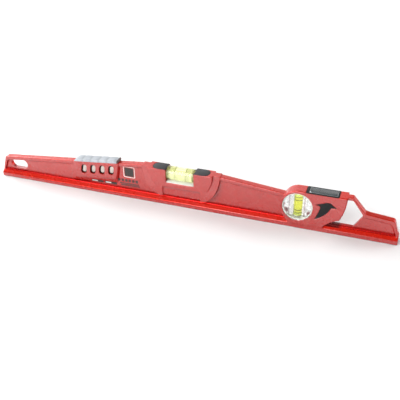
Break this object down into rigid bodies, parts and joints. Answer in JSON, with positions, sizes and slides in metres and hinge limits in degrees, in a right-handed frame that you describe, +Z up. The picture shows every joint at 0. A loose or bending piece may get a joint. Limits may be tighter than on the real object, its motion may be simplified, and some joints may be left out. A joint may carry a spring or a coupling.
{
  "type": "spirit level",
  "caption": "Cast trapezoidal spirit level with a wide milled base, a level vial, a plumb vial read from above through a mirror window, a soft grip and a hanging hole.",
  "frame": {"origin": "centre of the milled base, on the surface it rests on", "axes": "+X along the level towards the plumb vial, +Y from the front face to the back face, +Z up from the milled base"},
  "size_m": [0.6, 0.0196, 0.0588],
  "materials": {
    "casting": "satin",
    "grip": "matte",
    "pads": "matte",
    "dark_plastic": "satin",
    "white_plastic": "satin",
    "clear": "gloss",
    "liquid": "gloss",
    "bubble": "gloss",
    "silver": "satin",
    "window": "gloss",
    "mirror": "polished"
  },
  "bodies": {
    "level": {"body_casting": "casting", "grip_saddle": "grip", "grip_core": "dark_plastic", "grip_lug_1": "grip", "grip_lug_2": "grip", "grip_lug_3": "grip", "grip_lug_4": "grip", "level_vial_barrel": "clear", "level_vial_liquid": "liquid", "level_vial_ring_left": "dark_plastic", "level_vial_ring_right": "dark_plastic", "level_vial_plug_left": "dark_plastic", "level_vial_plug_right": "dark_plastic", "level_vial_reflector": "white_plastic", "pad_left": "pads", "pad_right": "pads", "plumb_lens_front": "clear", "plumb_lens_back": "clear", "plumb_carrier": "white_plastic", "plumb_reflector_left": "silver", "plumb_reflector_right": "silver", "plumb_vial_barrel": "clear", "plumb_vial_liquid": "liquid", "plumb_vial_plug_bottom": "white_plastic", "plumb_vial_plug_top": "white_plastic", "plumb_vial_ring_1": "dark_plastic", "plumb_vial_ring_2": "dark_plastic", "plumb_vial_ring_3": "dark_plastic", "plumb_vial_ring_4": "dark_plastic", "window_frame": "dark_plastic", "window_glass": "window", "window_mirror": "mirror", "arrow_front": "dark_plastic", "arrow_back": "dark_plastic"},
    "level_bubble": {"level_vial_bubble": "bubble"},
    "plumb_bubble": {"plumb_vial_bubble": "bubble"}
  },
  "joints": [
    {"name": "level_bubble_slide", "type": "slide", "parent": "level", "child": "level_bubble", "axis": [1, 0, 0], "range_m": [-0.0094, 0.0094], "stiffness_N_per_m": 20},
    {"name": "plumb_bubble_slide", "type": "slide", "parent": "level", "child": "plumb_bubble", "axis": [0, 0, 1], "range_m": [-0.0246, 0], "stiffness_N_per_m": 20, "springref_m": 0.001}
  ]
}
